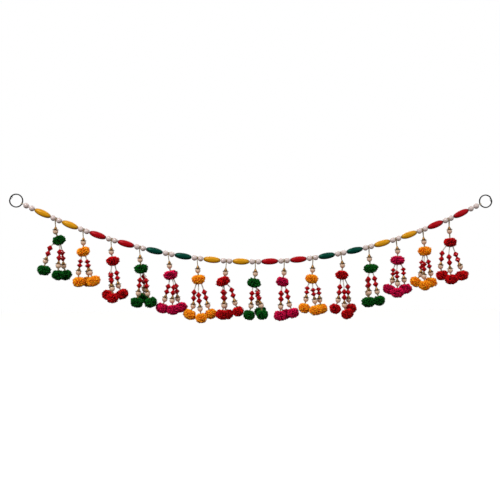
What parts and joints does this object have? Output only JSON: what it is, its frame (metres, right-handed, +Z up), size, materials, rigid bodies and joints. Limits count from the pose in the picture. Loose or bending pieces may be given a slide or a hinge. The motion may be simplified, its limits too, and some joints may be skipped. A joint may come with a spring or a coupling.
{
  "type": "toran door hanging",
  "caption": "Door hanging: a swag of long beads and pearls on a string between two split rings, with short tassels of crystals, pearls and yarn pompoms below it.",
  "frame": {"origin": "the place inside the left ring where its nail bears, opposite to where the string leaves it", "axes": "+X along the swag to the right ring, +Y away from the viewer, +Z up"},
  "size_m": [0.9636, 0.0545, 0.2555],
  "materials": {
    "ring_metal": "dark blackened steel wire",
    "string": "twisted cotton thread",
    "pearl": "pearl-coated plastic",
    "bead_yellow": "mustard yellow, satin",
    "bead_red": "crimson, satin",
    "bead_green": "teal green, satin",
    "yarn_green": "cut yarn pompom",
    "yarn_orange": "cut yarn pompom",
    "yarn_red": "cut yarn pompom",
    "yarn_magenta": "cut yarn pompom",
    "cap_metal": "antique gold stamped cap",
    "crystal_red": "faceted clear red crystal"
  },
  "bodies": {
    "root": {"ring_left": "ring_metal", "ring_right": "ring_metal", "cord": "string", "pearl_pair_00": "pearl", "pearl_pair_01": "pearl", "pearl_pair_02": "pearl", "pearl_pair_03": "pearl", "pearl_pair_04": "pearl", "pearl_pair_05": "pearl", "pearl_pair_06": "pearl", "pearl_pair_07": "pearl", "pearl_pair_08": "pearl", "pearl_pair_09": "pearl", "pearl_pair_10": "pearl", "pearl_pair_11": "pearl", "pearl_pair_12": "pearl", "pearl_pair_13": "pearl", "pearl_pair_14": "pearl", "pearl_pair_15": "pearl", "pearl_pair_16": "pearl", "long_bead_01": "bead_yellow", "long_bead_02": "bead_yellow", "long_bead_03": "bead_red", "long_bead_04": "bead_red", "long_bead_05": "bead_green", "long_bead_06": "bead_green", "long_bead_07": "bead_yellow", "long_bead_08": "bead_yellow", "long_bead_09": "bead_red", "long_bead_10": "bead_red", "long_bead_11": "bead_green", "long_bead_12": "bead_green", "long_bead_13": "bead_yellow", "long_bead_14": "bead_yellow", "long_bead_15": "bead_red", "long_bead_16": "bead_red", "tassel_01": "yarn_green", "tassel_02": "yarn_orange", "tassel_03": "yarn_red", "tassel_04": "yarn_green", "tassel_05": "yarn_magenta", "tassel_06": "yarn_orange", "tassel_07": "yarn_red", "tassel_08": "yarn_green", "tassel_09": "yarn_magenta", "tassel_10": "yarn_orange", "tassel_11": "yarn_red", "tassel_12": "yarn_green", "tassel_13": "yarn_magenta", "tassel_14": "yarn_orange", "tassel_15": "yarn_red"}
  },
  "joints": []
}
